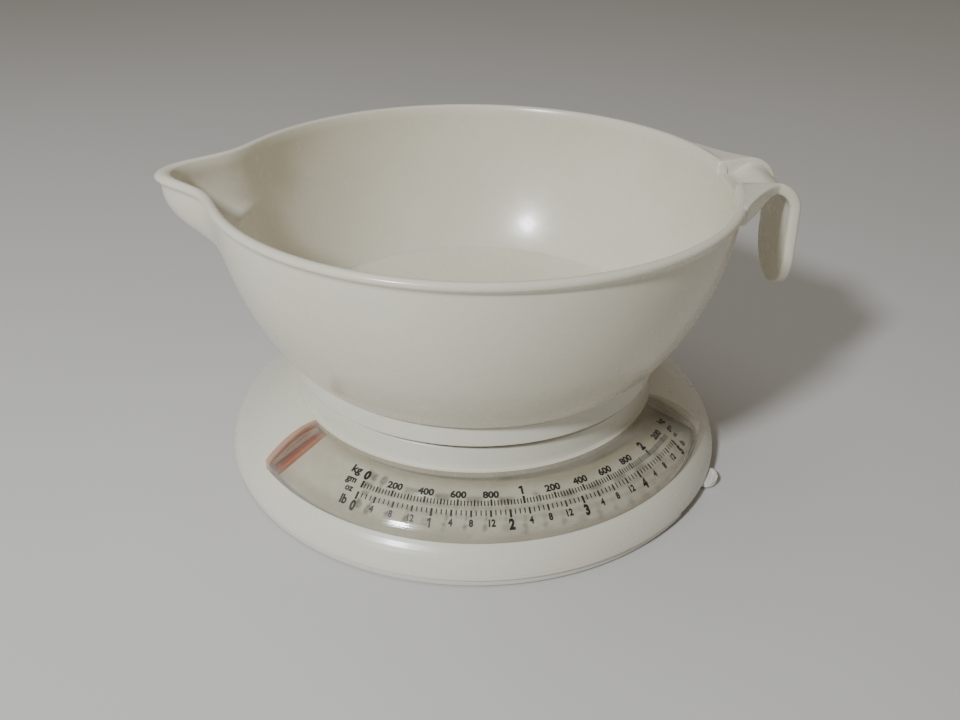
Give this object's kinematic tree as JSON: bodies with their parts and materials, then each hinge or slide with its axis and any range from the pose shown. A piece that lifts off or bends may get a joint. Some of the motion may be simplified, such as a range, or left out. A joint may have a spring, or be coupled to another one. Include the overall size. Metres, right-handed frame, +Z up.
{
  "type": "kitchen scale",
  "caption": "Mechanical kitchen scale with a round base, a curved dial window and a lift-off mixing bowl with a spout and a hook handle.",
  "frame": {"origin": "centre of the base on the surface that it stands on", "axes": "+Z up, +X towards the bowl's hook handle, -X towards its spout, the dial window faces -Y"},
  "size_m": [0.2361, 0.1998, 0.111],
  "materials": {
    "bowl_plastic": "glossy",
    "cream_plastic": "glossy",
    "base_plastic": "satin",
    "dial_cream": "matte",
    "clear_window": "clear moulded plastic",
    "red_plastic": "satin",
    "white_plastic": "glossy",
    "white_nylon": "satin",
    "rubber_feet": "matte",
    "steel": "zinc plated",
    "spring_steel": "drawn wire"
  },
  "bodies": {
    "base": {"base_tray": "base_plastic", "feet": "rubber_feet", "top_cover": "cream_plastic", "cover_screws": "steel", "window": "clear_window", "dial_plate": "dial_cream", "dial_screws": "steel", "crank_bracket": "steel", "bracket_screws": "steel", "crank_axle": "steel"},
    "weighing_platform": {"platform": "cream_plastic", "drive_post": "steel", "stem": "steel", "stem_washer": "steel", "stem_screw": "steel", "main_spring": "spring_steel"},
    "mixing_bowl": {"bowl": "bowl_plastic"},
    "crank": {"bell_crank": "white_nylon"},
    "toothed_rack": {"rack": "white_nylon"},
    "dial_pointer": {"pointer_gear": "white_nylon", "pointer": "red_plastic"},
    "zero_adjuster": {"zero_lever": "white_plastic"},
    "seat": {"spring_seat": "white_nylon"}
  },
  "joints": [
    {"name": "platform_travel", "type": "slide", "parent": "base", "child": "weighing_platform", "axis": [0, 0, -1], "range_m": [0, 0.0062], "stiffness_N_per_m": 4817, "springref_m": -0.0005, "deforming": ["main_spring"]},
    {"name": "crank_pivot", "type": "hinge", "parent": "base", "child": "crank", "pos_m": [0.01, 0.031, 0.0285], "axis": [1, 0, 0], "range_deg": [0, 52.58]},
    {"name": "rack_slide", "type": "slide", "parent": "base", "child": "toothed_rack", "axis": [0, 1, 0], "range_m": [0, 0.01621]},
    {"name": "pointer_spin", "type": "hinge", "parent": "base", "child": "dial_pointer", "pos_m": [0, 0, 0.012], "axis": [0, 0, 1], "range_deg": [0, 116.02]},
    {"name": "zero_adjust", "type": "hinge", "parent": "base", "child": "zero_adjuster", "pos_m": [0, 0, 0.017], "axis": [0, 0, 1], "range_deg": [-10, 10]},
    {"name": "seat_lift", "type": "slide", "parent": "base", "child": "seat", "axis": [0, 0, 1], "range_m": [-0.00026, 0.00026]},
    {"name": "bowl_lift", "type": "slide", "parent": "weighing_platform", "child": "mixing_bowl", "axis": [0, 0, 1], "range_m": [0, 0.08]}
  ],
  "couplings": [
    {"joint": "crank_pivot", "follows": "platform_travel", "rad_per_m": 147.99},
    {"joint": "rack_slide", "follows": "platform_travel", "ratio": 2.6124},
    {"joint": "pointer_spin", "follows": "platform_travel", "rad_per_m": 326.55},
    {"joint": "seat_lift", "follows": "zero_adjust", "m_per_rad": 0.0014324}
  ]
}
